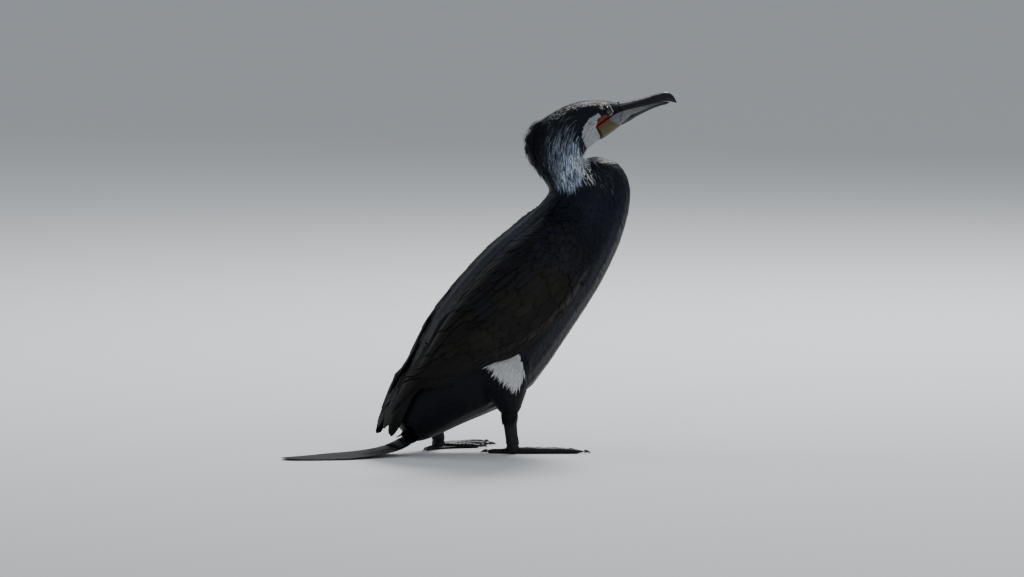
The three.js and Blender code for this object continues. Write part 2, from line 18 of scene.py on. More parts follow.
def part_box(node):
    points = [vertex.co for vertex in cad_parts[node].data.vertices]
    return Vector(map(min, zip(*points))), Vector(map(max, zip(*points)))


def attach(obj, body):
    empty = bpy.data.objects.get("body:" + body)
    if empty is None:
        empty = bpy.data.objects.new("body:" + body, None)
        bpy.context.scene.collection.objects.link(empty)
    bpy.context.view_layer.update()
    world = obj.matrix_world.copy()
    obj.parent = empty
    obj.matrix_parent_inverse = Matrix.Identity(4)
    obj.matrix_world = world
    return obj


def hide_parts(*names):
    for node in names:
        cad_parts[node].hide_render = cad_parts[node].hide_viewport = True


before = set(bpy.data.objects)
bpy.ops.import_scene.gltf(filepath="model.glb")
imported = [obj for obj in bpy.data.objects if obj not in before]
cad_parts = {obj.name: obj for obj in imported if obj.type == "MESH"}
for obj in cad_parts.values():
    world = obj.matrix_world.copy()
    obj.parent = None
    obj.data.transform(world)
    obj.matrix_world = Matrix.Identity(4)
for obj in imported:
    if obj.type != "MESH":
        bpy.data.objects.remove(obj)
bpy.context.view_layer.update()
MM = 0.001
CENTRING = 25 * MM  # the solids' middle was moved this far forwards onto the origin
SIDES = {"right": -1, "left": 1}  # the sign of y on each side of the bird
WELD = 0.02 * MM  # vertices nearer than this become one

# %% [markdown]
# ## Small helpers
# Operators act on whatever is selected, so every step starts by selecting nothing. A finished piece
# is named, takes one material, rides on the bird's one body, keeps its place and hides the solids it
# replaces.


# %% Helpers for selecting, finishing, reading meshes and drawing at random
random = np.random.default_rng(11)


def select_only(*objects):
    bpy.ops.object.select_all(action="DESELECT")
    for thing in objects:
        thing.select_set(True)
    bpy.context.view_layer.objects.active = objects[0]


def modify(thing, kind, **settings):
    select_only(thing)
    modifier = thing.modifiers.new(kind.title(), kind)
    for name, value in settings.items():
        setattr(modifier, name, value)
    bpy.ops.object.modifier_apply(modifier=modifier.name)


def finish_piece(thing, name, material, replaced=()):
    thing.name = name
    thing.data.name = name
    thing.data.materials.clear()
    thing.data.materials.append(material)
    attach(thing, "root")
    if replaced:
        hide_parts(*replaced)


def vertex_points(mesh):
    points = np.empty(len(mesh.vertices) * 3)
    mesh.vertices.foreach_get("co", points)
    return points.reshape(-1, 3)


def triangle_table(mesh, kind):
    """A row for each triangle, with its three vertices or its three loops."""
    mesh.calc_loop_triangles()
    ids = np.empty(len(mesh.loop_triangles) * 3, int)
    mesh.loop_triangles.foreach_get(kind, ids)
    return ids.reshape(-1, 3)


def remoulded(names, voxel, swell, smoothing):
    """Copies solids, swells them so that narrow seams close, and recasts them as one even skin."""
    copies = []
    for name in names:
        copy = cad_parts[name].copy()
        copy.data = copy.data.copy()
        bpy.context.collection.objects.link(copy)
        copy.parent = None
        copies.append(copy)
    select_only(*copies)
    if len(copies) > 1:
        bpy.ops.object.join()
    made = bpy.context.view_layer.objects.active
    bpy.ops.object.mode_set(mode="EDIT")
    bpy.ops.mesh.select_all(action="SELECT")
    bpy.ops.mesh.remove_doubles(threshold=WELD)
    bpy.ops.object.mode_set(mode="OBJECT")
    modify(made, "DISPLACE", strength=swell, mid_level=0)
    modify(made, "REMESH", mode="VOXEL", voxel_size=voxel)
    modify(made, "SMOOTH", factor=0.5, iterations=smoothing)
    modify(made, "DISPLACE", strength=-swell, mid_level=0)
    bpy.ops.object.shade_smooth()
    return made


# %% [markdown]
# ## Camera, light and floor
# The bird was seen from its right and a little behind, from afar with a long lens, so the camera
# stands fourteen metres off. A wide soft lamp from ahead and above gives the feathers their sheen, a
# weak one fills the near side and another edges the back. The floor is plain and pale.

# %% Camera at the photograph's angle
VIEW_AZIMUTH = math.radians(-25)
VIEW_ELEVATION = math.radians(5)
VIEW_DISTANCE = 14.0
SCENE_WIDTH = 1024 * 1.18 * MM  # what the frame takes in at the bird
AIM_RIGHT, AIM_UP = 14.2 * MM, 190.6 * MM  # the frame's middle, from between the feet
SENSOR_WIDTH = 36  # mm

east, north = math.sin(VIEW_AZIMUTH), -math.cos(VIEW_AZIMUTH)
level = math.cos(VIEW_ELEVATION)
towards_camera = Vector((east * level, north * level, math.sin(VIEW_ELEVATION)))
view_right = Vector((-north, east, 0))
view_up = towards_camera.cross(view_right)
aim = Vector((CENTRING, 0, 0)) + view_right * AIM_RIGHT + view_up * AIM_UP
bpy.ops.object.camera_add(location=aim + towards_camera * VIEW_DISTANCE)
camera = bpy.context.object
camera.rotation_mode = "QUATERNION"
camera.rotation_quaternion = (-towards_camera).to_track_quat("-Z", "Y")
camera.data.sensor_width = SENSOR_WIDTH
camera.data.lens = SENSOR_WIDTH * VIEW_DISTANCE / SCENE_WIDTH
camera.data.clip_end = 90
bpy.context.scene.camera = camera


# %% Floor, sky light and lamps
def plain(name, colour, roughness, shine=0.5, **inputs):
    material = bpy.data.materials.new(name)
    material.use_nodes = True
    shader = material.node_tree.nodes["Principled BSDF"]
    shader.inputs["Base Color"].default_value = (*colour, 1)
    shader.inputs["Roughness"].default_value = roughness
    shader.inputs["Specular IOR Level"].default_value = shine
    for socket, value in inputs.items():
        shader.inputs[socket.replace("_", " ")].default_value = value
    return material


bpy.ops.mesh.primitive_plane_add(size=40)
floor = bpy.context.object
floor.name = "studio_floor"
floor.data.materials.append(plain("Pale floor", (0.78, 0.79, 0.8), 0.9))

world = bpy.data.worlds.new("Soft daylight")
bpy.context.scene.world = world
world.use_nodes = True
sky = world.node_tree.nodes["Background"].inputs
sky["Color"].default_value, sky["Strength"].default_value = (0.86, 0.93, 1, 1), 0.42


def soft_lamp(name, place, size, watts):
    bpy.ops.object.light_add(type="AREA", location=place)
    lamp = bpy.context.object
    lamp.name = name
    lamp.data.size = size
    lamp.data.energy = watts
    lamp.rotation_mode = "QUATERNION"
    lamp.rotation_quaternion = (Vector((0, 0, 0.2)) - Vector(place)).to_track_quat("-Z", "Y")


soft_lamp("key_lamp", (1.6, 1.5, 2.4), size=0.8, watts=95)
soft_lamp("side_lamp", (0.6, -2.6, 1.6), size=1.4, watts=9)
soft_lamp("rim_lamp", (-1.4, 1.7, 1.5), size=1.0, watts=8)

# %% [markdown]
# ## The markings
# Skin and feathers read the same markings, so that no pale skin shows between dark feathers. The bird
# is blue-black, with a white cheek that runs under the chin, orange skin under the eye and a white
# thigh. Each patch is an outline in side view, in millimetres, that both sides of the bird share. The
# thigh's moves back with the left leg.

# %% Colours and patches
BLUE_BLACK = np.array((0.0062, 0.0082, 0.0145))
MANTLE_BLUE = np.array((0.0070, 0.0100, 0.0195))
BELLY_BLACK = np.array((0.0050, 0.0060, 0.0095))
WHITE_FEATHER = np.array((0.62, 0.63, 0.64))
PLUME_WHITE = np.array((0.33, 0.39, 0.49))
# The sunlit plume colour is a lit copy of the white plume, painted light for the plumes on the neck's
# fold.
SUNLIT_PLUME = np.array((0.60, 0.61, 0.62))
# The cream is made from the sunlit plume colour. The crown flecks it colours are partly short white
# plumes and partly a painted highlight.
SUNLIT_CREAM = SUNLIT_PLUME * (0.9, 0.86, 0.78)
CHEEK_WHITE = np.array((0.34, 0.35, 0.37))
GAPE_ORANGE = np.array((0.130, 0.033, 0.027))
POUCH_YELLOW = np.array((0.078, 0.060, 0.022))
JAW_GREY = np.array((0.16, 0.163, 0.175))
LORE_DARK = np.array((0.0085, 0.0090, 0.0125))
BRONZE = np.array((0.0118, 0.0098, 0.0082))
FLIGHT_BROWN = np.array((0.0088, 0.0080, 0.0074))
TAIL_BLACK = np.array((0.0085, 0.0088, 0.0105))

CHEEK = [(120, 396), (108, 390), (100, 380), (98, 370), (103, 361), (110, 353), (119, 358), (131, 364),
         (124, 374), (117, 381), (118, 388), (124, 393)]
GAPE_PATCH = [(114, 377), (119, 386), (124, 392), (133, 395), (141, 392), (132, 384.5), (124, 380)]
EYE, EYE_RING = (133, 398), 6.2  # middle in side view, and radius of the bare ring round it
THIGH_PATCH = [(-4, 121), (5, 110), (4, 97), (-1, 86), (-7, 77), (-13, 83), (-22, 89), (-30, 96),
               (-35, 104), (-38, 110), (-24, 117)]
LEFT_THIGH_BACK = 37  # how far the left thigh lies behind the right one


def inside(outline, x, z):
    """Which places lie inside a side-view outline: a ray from each crosses it an odd number of times."""
    odd = np.zeros(len(x), bool)
    for (x0, z0), (x1, z1) in zip(outline, outline[1:] + outline[:1]):
        crosses = (z0 > z) != (z1 > z)
        at = x0 + (x1 - x0) * (z - z0) / (z1 - z0 if z1 != z0 else 1e-9)
        odd ^= crosses & (x < at)
    return odd


def blend(a, b, amount):
    amount = np.clip(amount, 0, 1)[:, None]
    return a * (1 - amount) + b * amount


def unit(vectors, tiny=1e-12):
    return vectors / (np.linalg.norm(vectors, axis=-1, keepdims=True) + tiny)


def ramp(value, low, high):
    t = np.clip((value - low) / (high - low), 0, 1)
    return t * t * (3 - 2 * t)


def bare_skin(place):
    """Where no feather grows: the gape, the lores and the ring round each eye."""
    x, z = place[:, 0], place[:, 2]
    to_eye = np.hypot(x - EYE[0], z - EYE[1])
    lores = (x > 148) & (z > 388)
    gape = inside(GAPE_PATCH, x, z) | ((x > 122) & (z < 388) & (x - 122 > (388 - z) * 0.9))
    return gape | lores | (to_eye < EYE_RING)


def beside_thigh(place):
    """How far ahead of the thigh's middle a place lies, the same on both sides of the bird."""
    return place[:, 0] + np.where(place[:, 1] > 0, LEFT_THIGH_BACK, 0)


def on_thigh(place):
    x, y, z = beside_thigh(place), np.abs(place[:, 1]), place[:, 2]
    return (y > 36) & (z < 122) & (z > 40) & (x > -58) & (x < 26)


def white_thigh(place, raised=0):
    return inside(THIGH_PATCH, beside_thigh(place), place[:, 2] - raised) & (np.abs(place[:, 1]) > 46)


def markings(place):
    """The colour of skin and feathers at places in millimetres, one row each."""
    x, y, z = place[:, 0], np.abs(place[:, 1]), place[:, 2]
    chin = (x > 104) & (x < 131) & (z < 372) & (z > 350) & (y < 16) & (z < 352 + (x - 104) * 0.75)
    colour = np.tile(BLUE_BLACK, (len(place), 1))
    for other, amount in (
        (MANTLE_BLUE, ramp(z, 180, 260) * (z < 330)),
        (BELLY_BLACK, ramp(-z, -150, -60)),
        (CHEEK_WHITE, inside(CHEEK, x, z)),
        (CHEEK_WHITE, chin),
        (LORE_DARK, (x > 140) & (z > 388)),
        (GAPE_ORANGE, inside(GAPE_PATCH, x, z) & (y > 4)),
        (WHITE_FEATHER, white_thigh(place)),
    ):
        colour = blend(colour, other, amount)
    return colour


def in_mm(points):
    """Metres in the solids' frame to millimetres measured from between the feet."""
    place = np.asarray(points) / MM
    place[:, 0] -= CENTRING / MM
    return place


def paint(thing, colours):
    """Stores one colour for each vertex, which the materials read."""
    attribute = thing.data.color_attributes.new("Markings", "FLOAT_COLOR", "POINT")
    attribute.data.foreach_set("color", np.hstack([colours, np.ones((len(colours), 1))]).ravel())


# %% [markdown]
# ## Materials
# Cormorant feathers are matt from above and glossy at a low angle, with a faint oily blue. Fine
# barbs run outwards from each shaft, and on the wings every feather is bronze-brown with a black
# rim. The blades carry a map of their own, across and along, that places the barbs and the rim.


# %% Helpers for shader nodes
def node(tree, kind, **settings):
    made = tree.nodes.new("ShaderNode" + kind)
    for name, value in settings.items():
        if name in made.inputs:
            made.inputs[name].default_value = value
        else:
            setattr(made, name, value)
    return made


def feed(tree, socket, value):
    """Links an output to a socket, or sets a number or a colour on it."""
    if hasattr(value, "is_output"):
        tree.links.new(value, socket)
    else:
        socket.default_value = value if isinstance(value, float) else (*value, 1)


def maths(tree, operation, a, b, clamp=False):
    made = node(tree, "Math", operation=operation, use_clamp=clamp)
    feed(tree, made.inputs[0], a)
    feed(tree, made.inputs[1], b)
    return made.outputs[0]


def blended(tree, amount, a, b, mode="MIX"):
    """A colour between a and b, each a colour output or three numbers."""
    mix = node(tree, "Mix", data_type="RGBA", blend_type=mode)
    for number, value in ((0, amount), (6, a), (7, b)):
        feed(tree, mix.inputs[number], value)
    return mix.outputs[2]


def bumped(material, height, strength, distance):
    tree = material.node_tree
    bump = node(tree, "Bump", Strength=strength, Distance=distance)
    tree.links.new(height, bump.inputs["Height"])
    tree.links.new(bump.outputs["Normal"], tree.nodes["Principled BSDF"].inputs["Normal"])


def textured(material, kind, scale, stretch=(1, 1, 1)):
    """A texture in object space, which may be drawn out along an axis."""
    tree = material.node_tree
    coordinates = node(tree, "TexCoord")
    mapping = node(tree, "Mapping")
    mapping.inputs["Scale"].default_value = stretch
    texture = node(tree, kind, Scale=scale)
    tree.links.new(coordinates.outputs["Object"], mapping.inputs["Vector"])
    tree.links.new(mapping.outputs["Vector"], texture.inputs["Vector"])
    return texture


def marked_colour(material):
    attribute = node(material.node_tree, "Attribute", attribute_name="Markings")
    return attribute.outputs["Color"]


def use_colour(material, colour):
    tree = material.node_tree
    tree.links.new(colour, tree.nodes["Principled BSDF"].inputs["Base Color"])


def grained(material, scale, relief, depth, kind="TexNoise"):
    bumped(material, textured(material, kind, scale).outputs[0], relief, depth)


# %% Feathers: barbs and rim from the Blade map, colour from the markings
def feathered(name, rim, gloss, barbs, rim_start=0.72, relief=0.2):
    """rim is how dark the edge is beside the middle, and barbs how many cross one feather."""
    material = plain(name, (0, 0, 0), gloss, shine=0.12)
    tree = material.node_tree
    blade_map = node(tree, "UVMap", uv_map="Blade")
    parts = node(tree, "SeparateXYZ")
    tree.links.new(blade_map.outputs["UV"], parts.inputs["Vector"])
    do = partial(maths, tree)
    from_left = do("SUBTRACT", do("MULTIPLY", parts.outputs["X"], 2.0), 1.0)
    across = do("ABSOLUTE", from_left, 0.0)
    side_rim = do("MULTIPLY", do("SUBTRACT", across, rim_start), 6.0, clamp=True)
    tip_rim = do("MULTIPLY", do("SUBTRACT", parts.outputs["Y"], 0.9), 12.0, clamp=True)
    shaft = do("SUBTRACT", 1.0, do("MULTIPLY", across, 14.0, clamp=True), clamp=True)
    edge = do("MAXIMUM", side_rim, tip_rim)
    dark = do("MAXIMUM", edge, do("MULTIPLY", shaft, 0.6))
    marks = marked_colour(material)
    use_colour(material, blended(tree, dark, marks, blended(tree, 1.0, marks, (rim,) * 3, "MULTIPLY")))
    slant = do("ADD", do("MULTIPLY", across, -0.16), parts.outputs["Y"])
    wave = do("SINE", do("MULTIPLY", slant, barbs * 6.28), 0.0)
    bumped(material, wave, relief, 0.1 * MM)
    return material


small_feathers = feathered("Small body feathers", rim=0.35, gloss=0.4, barbs=14.0, rim_start=0.6)
plume_material = feathered("White plumes", rim=1.0, gloss=0.55, barbs=4.0, relief=0.02)
covert_material = feathered(
    "Bronze wing feathers", rim=0.42, gloss=0.42, barbs=34.0, rim_start=0.78)
flight_material = feathered("Dark flight feathers", rim=0.4, gloss=0.42, barbs=60.0, rim_start=0.8)
tail_material = feathered("Black tail feathers", rim=0.3, gloss=0.42, barbs=90.0, rim_start=0.85)

# %% Skin, bill and feet
skin_material = plain("Skin under the feathers", (0, 0, 0), 0.6, shine=0.12)
use_colour(skin_material, marked_colour(skin_material))
grained(skin_material, scale=900.0, relief=0.5, depth=0.5 * MM)
bed_material = plain("Wing bed", (0.006, 0.006, 0.006), 0.7, shine=0.2)
grained(bed_material, scale=500.0, relief=0.4, depth=0.4 * MM)


def mottled(name, roughness, scale, darkest, relief, stretch=(1, 1, 1)):
    """Horn or bare skin: the marked colour, blotched by a soft noise, with fine relief."""
    material = plain(name, (0, 0, 0), roughness, shine=0.16)
    noise = textured(material, "TexNoise", scale, stretch)
    noise.inputs["Detail"].default_value = 4
    shade = blended(material.node_tree, noise.outputs[0], (darkest,) * 3, (2 - darkest,) * 3)
    use_colour(material, blended(material.node_tree, 1.0, marked_colour(material), shade, "MULTIPLY"))
    bumped(material, noise.outputs[0], relief, 0.5 * MM)
    return material


horn_material = mottled("Bill horn", 0.4, scale=260.0, darkest=0.4, relief=0.25, stretch=(0.35, 1, 1))
throat_material = mottled("Creased throat skin", 0.5, scale=620.0, darkest=0.3, relief=0.6)
claw_material = plain("Claw horn", (0.014, 0.0135, 0.0135), 0.3)
grained(claw_material, scale=700.0, relief=0.15, depth=0.2 * MM)
foot_material = plain("Black scaly skin", (0.008, 0.0082, 0.0096), 0.42, shine=0.22)
grained(foot_material, scale=480.0, relief=0.9, depth=0.6 * MM, kind="TexVoronoi")

# %% [markdown]
# ## One skin
# Torso, neck, head and thighs are separate solids with hair-wide seams. Swollen a little and recast
# as one even mesh they become a single skin. It is then drawn in by the depth of the coat, least on
# the face, where feathers are shortest.

# %% Recast the flesh as one skin
FLESH = ("torso", "neck_lower", "neck_upper", "head", "thigh_right", "thigh_left")
SKIN_VOXEL = 1.6 * MM
COAT_DEPTH = 1.5 * MM
DEPTH_STEPS = 20  # how finely the depth is graded towards the face
skin = remoulded(FLESH, SKIN_VOXEL, swell=0.5 * MM, smoothing=14)

place = in_mm(vertex_points(skin.data))
depth_share = 1 - 0.75 * ramp(place[:, 0] * 0.5 + place[:, 2], 430, 462)
depth_group = skin.vertex_groups.new(name="coat_depth")
for step in range(DEPTH_STEPS + 1):
    members = np.flatnonzero(np.round(depth_share * DEPTH_STEPS) == step)
    if len(members):
        depth_group.add(members.tolist(), step / DEPTH_STEPS, "REPLACE")
modify(skin, "DISPLACE", strength=-COAT_DEPTH, mid_level=0, vertex_group="coat_depth")
skin.vertex_groups.clear()

# %% Unwrap the skin and paint it
select_only(skin)
skin.data.uv_layers.new(name="OFBake")
bpy.ops.object.mode_set(mode="EDIT")
bpy.ops.mesh.select_all(action="SELECT")
bpy.ops.uv.smart_project(angle_limit=math.radians(66), island_margin=0.003)
bpy.ops.object.mode_set(mode="OBJECT")
skin_points = vertex_points(skin.data)
paint(skin, markings(in_mm(skin_points)))
finish_piece(skin, "skin", skin_material, FLESH)

# %% [markdown]
# ## The lie of the coat
# Feathers point away from the bill: back over the crown, down the nape, down the breast and back
# along the flanks. A few given arrows are blended to give the lie anywhere on the skin.

# %% Arrows of the coat
LIE = np.array([  # place x, y, z in mm on the right, y taken as positive; the way x, y, z there
    (152, 8, 402, -1, 0.2, 0.1), (122, 15, 405, -1, 0.1, -0.05), (90, 17, 402, -1, 0, -0.25),
    (62, 8, 394, -0.75, 0, -0.65), (42, 0, 376, -0.2, 0, -1), (40, 0, 350, 0.2, 0, -1),
    (54, 0, 322, 0.35, 0, -1), (108, 20, 385, -0.85, 0, -0.5), (80, 24, 375, -0.5, 0, -0.9),
    (80, 27, 345, 0.05, 0, -1), (88, 26, 318, 0.25, 0.1, -1), (132, 0, 367, -0.85, 0, -0.5),
    (116, 10, 355, -0.5, 0, -0.9), (108, 16, 340, 0.1, 0.2, -1), (112, 5, 346, 0.8, 0, 0.1),
    (130, 5, 345, 1, 0, -0.1), (155, 8, 336, 0.75, 0, -0.7), (169, 0, 308, 0.1, 0, -1),
    (125, 28, 332, 0.45, 0.45, -0.8), (125, 38, 300, 0.05, 0.1, -1), (95, 40, 285, -0.25, 0.1, -1),
    (165, 0, 275, -0.15, 0, -1), (145, 30, 240, -0.25, 0, -1), (123, 0, 186, -0.5, 0, -0.85),
    (83, 0, 132, -0.65, 0, -0.75), (37, 0, 74, -0.6, 0, -0.8), (-5, 0, 49, -0.9, 0, -0.4),
    (-50, 0, 34, -1, 0, -0.15), (-111, 0, 14, -1, 0, 0.05), (53, 0, 288, -0.5, 0, -0.85),
    (30, 0, 269, -0.7, 0, -0.7), (-5, 0, 244, -0.7, 0, -0.7), (-47, 0, 204, -0.65, 0, -0.75),
    (-84, 0, 160, -0.45, 0, -0.9), (-112, 0, 111, -0.35, 0, -0.95), (-131, 0, 72, -0.35, 0, -0.95),
    (100, 52, 220, -0.3, 0, -0.95), (60, 58, 180, -0.6, 0, -0.8), (0, 59, 130, -0.7, 0, -0.7),
    (-60, 50, 90, -0.85, 0, -0.5), (-100, 25, 50, -0.95, 0, -0.35), (-15, 64, 100, -0.45, 0, -0.9),
    (-12, 56, 65, -0.15, 0, -1),
], float)
arrow_places, arrow_ways = LIE[:, :3], unit(LIE[:, 3:], 0)


def lie_of_coat(points, normals):
    """The way a feather points at places in metres: nearby arrows blended, then laid on the skin."""
    place = in_mm(points)
    side = np.where(place[:, 1] < 0, -1.0, 1.0)
    place[:, 1] = np.abs(place[:, 1])
    away = np.linalg.norm(place[:, None, :] - arrow_places[None], axis=2)
    weight = 1 / (away + 4) ** 4
    way = (weight[:, :, None] * arrow_ways[None]).sum(axis=1)
    way[:, 1] *= side
    way -= normals * (way * normals).sum(axis=1, keepdims=True)
    return unit(way, 1e-9)


# %% [markdown]
# ## Laying small feathers
# Roots are drawn at random over the skin, thicker where the coat is finer. From each root the blade
# walks along the lie of the coat, pulled back onto the skin and lifted at each step, so that it bends
# with the body and covers the next roots. A blade is a small closed mesh with a raised shaft, and one
# coat is one object. Feathers also run out over the shanks and the tail.

# %% Scatter roots and build the blades
PATCH = 0.003  # how much of the map one feather covers
ROOT_DEPTH = 0.3 * MM  # how far roots sink into the skin

triangles = triangle_table(skin.data, "vertices")
skin_uv = np.empty(len(skin.data.loops) * 2)
skin.data.uv_layers["OFBake"].data.foreach_get("uv", skin_uv)
triangle_uv = skin_uv.reshape(-1, 2)[triangle_table(skin.data, "loops")]
corners = skin_points[triangles]
triangle_cross = np.cross(corners[:, 1] - corners[:, 0], corners[:, 2] - corners[:, 0])
triangle_area = np.linalg.norm(triangle_cross, axis=1) / 2
triangle_place = in_mm(corners.mean(axis=1))
ground_points, ground_triangles = skin_points, triangles
for name in ("tarsus_right", "tarsus_left", "tail"):
    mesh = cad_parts[name].data
    shifted = triangle_table(mesh, "vertices") + len(ground_points)
    ground_triangles = np.concatenate([ground_triangles, shifted])
    ground_points = np.concatenate([ground_points, vertex_points(mesh)])
ground = BVHTree.FromPolygons(ground_points.tolist(), ground_triangles.tolist())


def scatter(number, share):
    """Draws roots over the skin as thickly as share says, with their places on its map and in mm."""
    weight = triangle_area * share
    chosen = random.choice(len(triangles), size=number, p=weight / weight.sum())
    a, b = random.random(number), random.random(number)
    flip = a + b > 1
    a[flip], b[flip] = 1 - a[flip], 1 - b[flip]
    mix = np.stack([1 - a - b, a, b], axis=1)
    roots, maps = ((table[chosen] * mix[:, :, None]).sum(axis=1) for table in (corners, triangle_uv))
    return roots, maps, in_mm(roots)


def picked(planted, keep):
    return [table[keep] for table in planted]


def onto_skin(points):
    found = [ground.find_nearest(Vector(p)) for p in points]
    return np.array([f[0] for f in found]), np.array([f[1] for f in found])


def laid_heading(at, normal, stray_angle):
    heading = lie_of_coat(at, normal)
    side = np.cross(normal, heading)
    return heading * np.cos(stray_angle)[:, None] + side * np.sin(stray_angle)[:, None]


def joined_blades(name, vertices, blade_faces, patches, flat, colours, material, replaced=()):
    """One object from many blades that share one pattern of faces: vertices has a row for each blade."""
    number, per = vertices.shape[:2]
    base = np.arange(number) * per
    faces = []
    for face in blade_faces:
        faces += (base[:, None] + np.array(face)).tolist()
    mesh = bpy.data.meshes.new(name)
    mesh.from_pydata(vertices.reshape(-1, 3).tolist(), [], faces)
    thing = bpy.data.objects.new(name, mesh)
    bpy.context.collection.objects.link(thing)
    paint(thing, np.repeat(colours, per, axis=0))
    loops = np.empty(len(mesh.loops), int)
    mesh.loops.foreach_get("vertex_index", loops)
    maps = {"OFBake": patches.reshape(-1, 2), "Blade": np.tile(flat, (number, 1))}
    for layer_name, values in maps.items():
        mesh.uv_layers.new(name=layer_name).data.foreach_set("uv", values[loops].ravel())
    select_only(thing)
    bpy.ops.object.shade_smooth_by_angle(angle=math.radians(48))
    finish_piece(thing, name, material, replaced)


def varied(colours, spread, number):
    """One colour or a row for each feather, every feather a little lighter or darker than the next."""
    return colours * np.exp(random.normal(0, spread, number))[:, None]


def lay_feathers(name, planted, length, half, lift, tip_lift=None, colours=None, stray=0.08, stations=3,
                 taper=0.8, spread=0.1, material=small_feathers):
    """Builds one coat: closed blades from their roots along the lie of the coat, with sizes in mm."""
    roots, root_uv, _ = planted
    number = len(roots)
    sizes = (length, half, lift, lift if tip_lift is None else tip_lift)
    length, half, lift, tip_lift = (np.broadcast_to(size, number) * MM for size in sizes)
    at, normal = onto_skin(roots)
    stray_angle = random.normal(0, stray, number)
    heading = laid_heading(at, normal, stray_angle)
    rows, middles, last = [], at, 0
    for share in np.linspace(0, 1, stations + 1):
        if share:
            at, normal = onto_skin(at + heading * (length * (share - last))[:, None])
            heading = laid_heading(at, normal, stray_angle)
        last = share
        if share <= 0.7:
            middles = at
        side = np.cross(normal, heading)
        height = lift * min(share * 1.6, 1) * (1 - share) + tip_lift * share - ROOT_DEPTH * (1 - share)
        centre = at + normal * height[:, None]
        if share < 1:
            width = half * (0.6 + 0.4 * min(share * 2.2, 1)) * (1 - (share * taper) ** 3)
            edge = centre - normal * (0.07 * half)[:, None]
            rows += [edge - side * width[:, None], centre, edge + side * width[:, None]]
        else:
            rows.append(centre)
    if colours is None:
        colours = varied(markings(in_mm(middles)), spread, number)
    faces, tip = [], stations * 3
    for k in range(stations - 1):
        l0, c0, r0, l1, c1, r1 = (3 * k + j for j in range(6))
        faces += [(l1, c1, c0, l0), (c1, r1, r0, c0), (r1, l1, l0, r0)]
    faces += [(tip, tip - 2, tip - 3), (tip, tip - 1, tip - 2), (tip, tip - 3, tip - 1), (1, 2, 0)]
    flat = np.array([(j % 3 / 2, j // 3 / stations) for j in range(tip)] + [(0.5, 1)])
    patches = root_uv[:, None, :] + (flat - (0.5, 0))[None] * PATCH
    blades = np.stack(rows, axis=1)
    joined_blades(name, blades, faces, patches, flat, colours, material)


# %% [markdown]
# ## The body coat
# Contour feathers on breast, belly, back and flanks are about seventeen millimetres long, and half
# that near the neck. They lie so flat that the body looks like dark silk with soft scallops.

# %% Lay the body coat
BODY_FEATHERS = 12000
x, y, z = triangle_place[:, 0], np.abs(triangle_place[:, 1]), triangle_place[:, 2]
on_trunk = (z < 300) | ((x > 112) & (z < 350))
thigh_skin = on_thigh(triangle_place)
planted = scatter(BODY_FEATHERS, on_trunk & ~thigh_skin)
fine = ramp(planted[2][:, 2], 240, 330)
lay_feathers(
    "coat_body", planted, length=17 - 8 * fine, half=4.6 - 2.5 * fine,
    lift=0.85 - 0.3 * fine, tip_lift=1.1 - 0.4 * fine, spread=0.13, stray=0.1,
)

# %% [markdown]
# ## Thighs
# Loose feathers hang from the thigh over the shank. In spring long silky white ones stand out on each
# flank, with a ragged lower edge.

# %% Lay the thigh feathers
THIGH_FEATHERS = 3600  # drawn, and fewer are laid because the white patch stays free
SILKY_PLUMES = 2300
planted = scatter(THIGH_FEATHERS, (thigh_skin & (z > 45)) * (1 + 2 * (z < 60)))
planted = picked(planted, ~white_thigh(planted[2], 7))
low_down = ramp(-planted[2][:, 2], -68, -58)
laid = len(low_down)
lay_feathers(
    "coat_thigh", planted, length=15 + random.uniform(-9, 8, laid) * low_down, half=2.6 - 1.3 * low_down,
    lift=0.7, tip_lift=1.2 + random.uniform(-0.5, 1.2, laid) * low_down,
    colours=varied(BELLY_BLACK, 0.12, laid), stray=0.16,
)
planted = scatter(SILKY_PLUMES, white_thigh(triangle_place, 8))
lay_feathers(
    "thigh_plumes", planted, length=random.uniform(12, 18, SILKY_PLUMES), half=0.6, lift=1.2,
    tip_lift=random.uniform(1.0, 2.6, SILKY_PLUMES), colours=varied(WHITE_FEATHER, 0.14, SILKY_PLUMES),
    stray=0.22, taper=0.97, material=plume_material,
)

# %% [markdown]
# ## Head and neck
# Here the feathers are short, narrow and velvety. They shrink towards the face and leave the gape,
# the lores and the eye rings bare.

# %% Lay the head and neck coat
HEAD_FEATHERS = 19000  # drawn, and fewer are laid because bare skin stays free
on_neck = ~on_trunk
planted = scatter(HEAD_FEATHERS, on_neck * (1 + 1.5 * (x > 100)))
planted = picked(planted, ~bare_skin(planted[2]))
face = ramp(planted[2][:, 0] * 0.5 + planted[2][:, 2], 415, 462)
lay_feathers(
    "coat_head", planted, length=8 - 4.9 * face, half=1.35 - 0.75 * face,
    lift=0.6 - 0.4 * face, spread=0.18, stations=2, stray=0.13,
)

# %% [markdown]
# ## White plumes
# Breeding birds grow hair-thin white plumes on the head and neck. They start behind the cheek, leave
# a black band down the nape, thicken into a silvery fan and run out over the neck's fold, where they
# are painted sunlit and dimmer grey ones beyond stand for a painted sheen on the bulge. A few short
# ones fleck the brow and the crown, and on the crown's upward-facing top they are partly a painted
# highlight.

# %% Where plumes grow, and laying them
PLUMES, FOLD_PLUMES_AND_SHEEN, FLECKS = 1900, 520, 900


def nape_band(z):
    """How far forwards the black band down the nape reaches at each height, in mm."""
    return 41 + 0.0042 * (z - 352) ** 2


